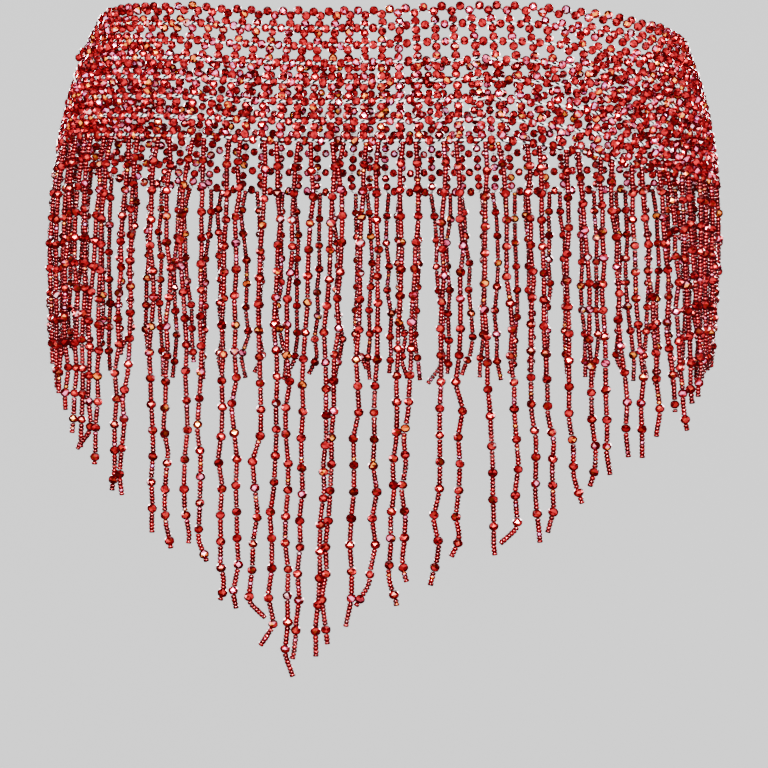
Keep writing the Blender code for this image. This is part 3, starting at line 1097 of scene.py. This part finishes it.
def aimed(place, target):
    """A lamp's or camera's place in the world, turned to a target."""
    turned = (Vector(target) - Vector(place)).to_track_quat("-Z", "Y")
    return Matrix.Translation(place) @ turned.to_matrix().to_4x4()


# Where each lamp stands when the camera looks along +Y, how wide it is and its power.
LIT_POINT = (0.0, 0.0, -0.10)
Lamp = namedtuple("Lamp", "name place size power")
LAMPS = (
    Lamp("key", (-0.25, -2.15, 0.20), 0.60, 62.0),
    Lamp("flash", (0.10, -2.15, -0.10), 0.15, 120.0),
    Lamp("right", (1.90, -0.20, 0.30), 0.60, 38.0),
    Lamp("left", (-1.90, -0.20, 0.30), 0.60, 38.0),
    Lamp("top", (0.0, 0.20, 1.70), 1.20, 12.0),
    Lamp("far right", (0.80, 1.90, 0.45), 0.60, 46.0),
    Lamp("far left", (-0.80, 1.90, 0.45), 0.60, 46.0),
)

# The floor's flat part, the curve up into its wall and the wall's top; the world's faint light; and the
# camera's lens, its sensor and how far it looks up.
FLOOR_RADIUS, FLOOR_CURVE, FLOOR_TOP = 3.6, 1.4, 4.0
FLOOR_SIDES, CURVE_STEPS = 96, 12
WORLD_STRENGTH = 0.035
LENS, SENSOR = 189.5, 36.0
CAMERA_RISE = math.radians(2.7)


class HIPBELT_OT_stage(Operator):
    """Set the pale floor, the soft lights and the camera"""

    bl_idname = "hip_belt.stage"
    bl_label = "Stage, lights and camera"

    def execute(self, context):
        stage = context.scene.hip_belt_stage
        self.make_floor(stage)
        self.make_lights(context, stage)
        self.make_camera(context, stage)
        return {"FINISHED"}

    def make_floor(self, stage):
        """A wide round floor whose rim curves up into a wall, so that it has no edge in view."""
        profile = [(FLOOR_RADIUS, 0.0)]
        for angle in np.linspace(0.1, math.pi / 2, CURVE_STEPS):
            radius = FLOOR_RADIUS + FLOOR_CURVE * math.sin(angle)
            profile.append((radius, FLOOR_CURVE - FLOOR_CURVE * math.cos(angle)))
        profile.append((FLOOR_RADIUS + FLOOR_CURVE, FLOOR_TOP))
        rings = [ring_points(radius, z, FLOOR_SIDES) for radius, z in profile]
        points = np.concatenate([*rings, [[0, 0, 0]]])
        index = np.arange(len(rings) * FLOOR_SIDES).reshape(len(rings), FLOOR_SIDES)
        faces = [bridge(lower, upper, 0, False) for lower, upper in zip(index, index[1:])]
        middle = np.full(FLOOR_SIDES, len(points) - 1)
        faces.append(np.stack([index[0], np.roll(index[0], -1), middle], -1))
        mesh = build_mesh(points, faces, True)
        mesh.materials.append(floor_material(stage.floor))
        floor = add_object("floor", mesh)
        floor.location.z = -stage.drop
        floor.visible_glossy = floor.visible_diffuse = False

    def make_lights(self, context, stage):
        turn = Matrix.Rotation(stage.azimuth, 3, "Z")
        for lamp in LAMPS:
            data = bpy.data.lights.new(lamp.name, "AREA")
            data.shape = "DISK"
            data.size = lamp.size
            data.energy = lamp.power * stage.light
            add_object(lamp.name, data).matrix_world = aimed(turn @ Vector(lamp.place), LIT_POINT)
        world = bpy.data.worlds.new("Studio")
        world.use_nodes = True
        background = world.node_tree.nodes["Background"]
        feed(world.node_tree, background, Color=(1.0, 1.0, 1.0, 1.0), Strength=WORLD_STRENGTH)
        context.scene.world = world

    def make_camera(self, context, stage):
        """Nearly level, a little under the belt and round to the wearer's right of centre back."""
        data = bpy.data.cameras.new("camera")
        data.sensor_width, data.lens = SENSOR, LENS
        data.clip_start, data.clip_end = 0.05, 30.0
        turn = Matrix.Rotation(stage.azimuth, 3, "Z")
        place = turn @ Vector((0.0, -stage.distance, -stage.eye_drop))
        camera = add_object("camera", data)
        camera.matrix_world = aimed(place, place + turn @ Vector((0.0, 1.0, math.tan(CAMERA_RISE))))
        context.scene.camera = camera


class HIPBELT_PT_panel(Panel):
    """Lists the belt's pieces, sizes and colours"""

    bl_idname = "HIPBELT_PT_panel"
    bl_label = "Hip Belt"
    bl_space_type = "VIEW_3D"
    bl_region_type = "UI"
    bl_category = "Hip Belt"

    def draw(self, context):
        for operator in OPERATORS:
            self.layout.operator(operator.bl_idname)
        for label, cls in GROUPS.items():
            box = self.layout.box()
            for name in cls.__annotations__:
                box.prop(getattr(context.scene, label), name)


GROUPS = {"hip_belt_sizes": HipBeltSizes, "hip_belt_colours": HipBeltColours, "hip_belt_stage": HipBeltStage}
OPERATORS = (
    HIPBELT_OT_net_beads,
    HIPBELT_OT_net_elastic,
    HIPBELT_OT_bottom_row,
    HIPBELT_OT_back_fringe,
    HIPBELT_OT_front_fringe,
    HIPBELT_OT_loose_ends,
    HIPBELT_OT_stage,
)


def register():
    for cls in (*GROUPS.values(), *OPERATORS, HIPBELT_PT_panel):
        bpy.utils.register_class(cls)
    for name, cls in GROUPS.items():
        setattr(bpy.types.Scene, name, PointerProperty(type=cls))


def unregister():
    for name in GROUPS:
        delattr(bpy.types.Scene, name)
    for cls in reversed((*GROUPS.values(), *OPERATORS, HIPBELT_PT_panel)):
        bpy.utils.unregister_class(cls)


def main():
    register()
    for operator in OPERATORS:
        group, name = operator.bl_idname.split(".")
        getattr(getattr(bpy.ops, group), name)()


if __name__ == "__main__":
    main()
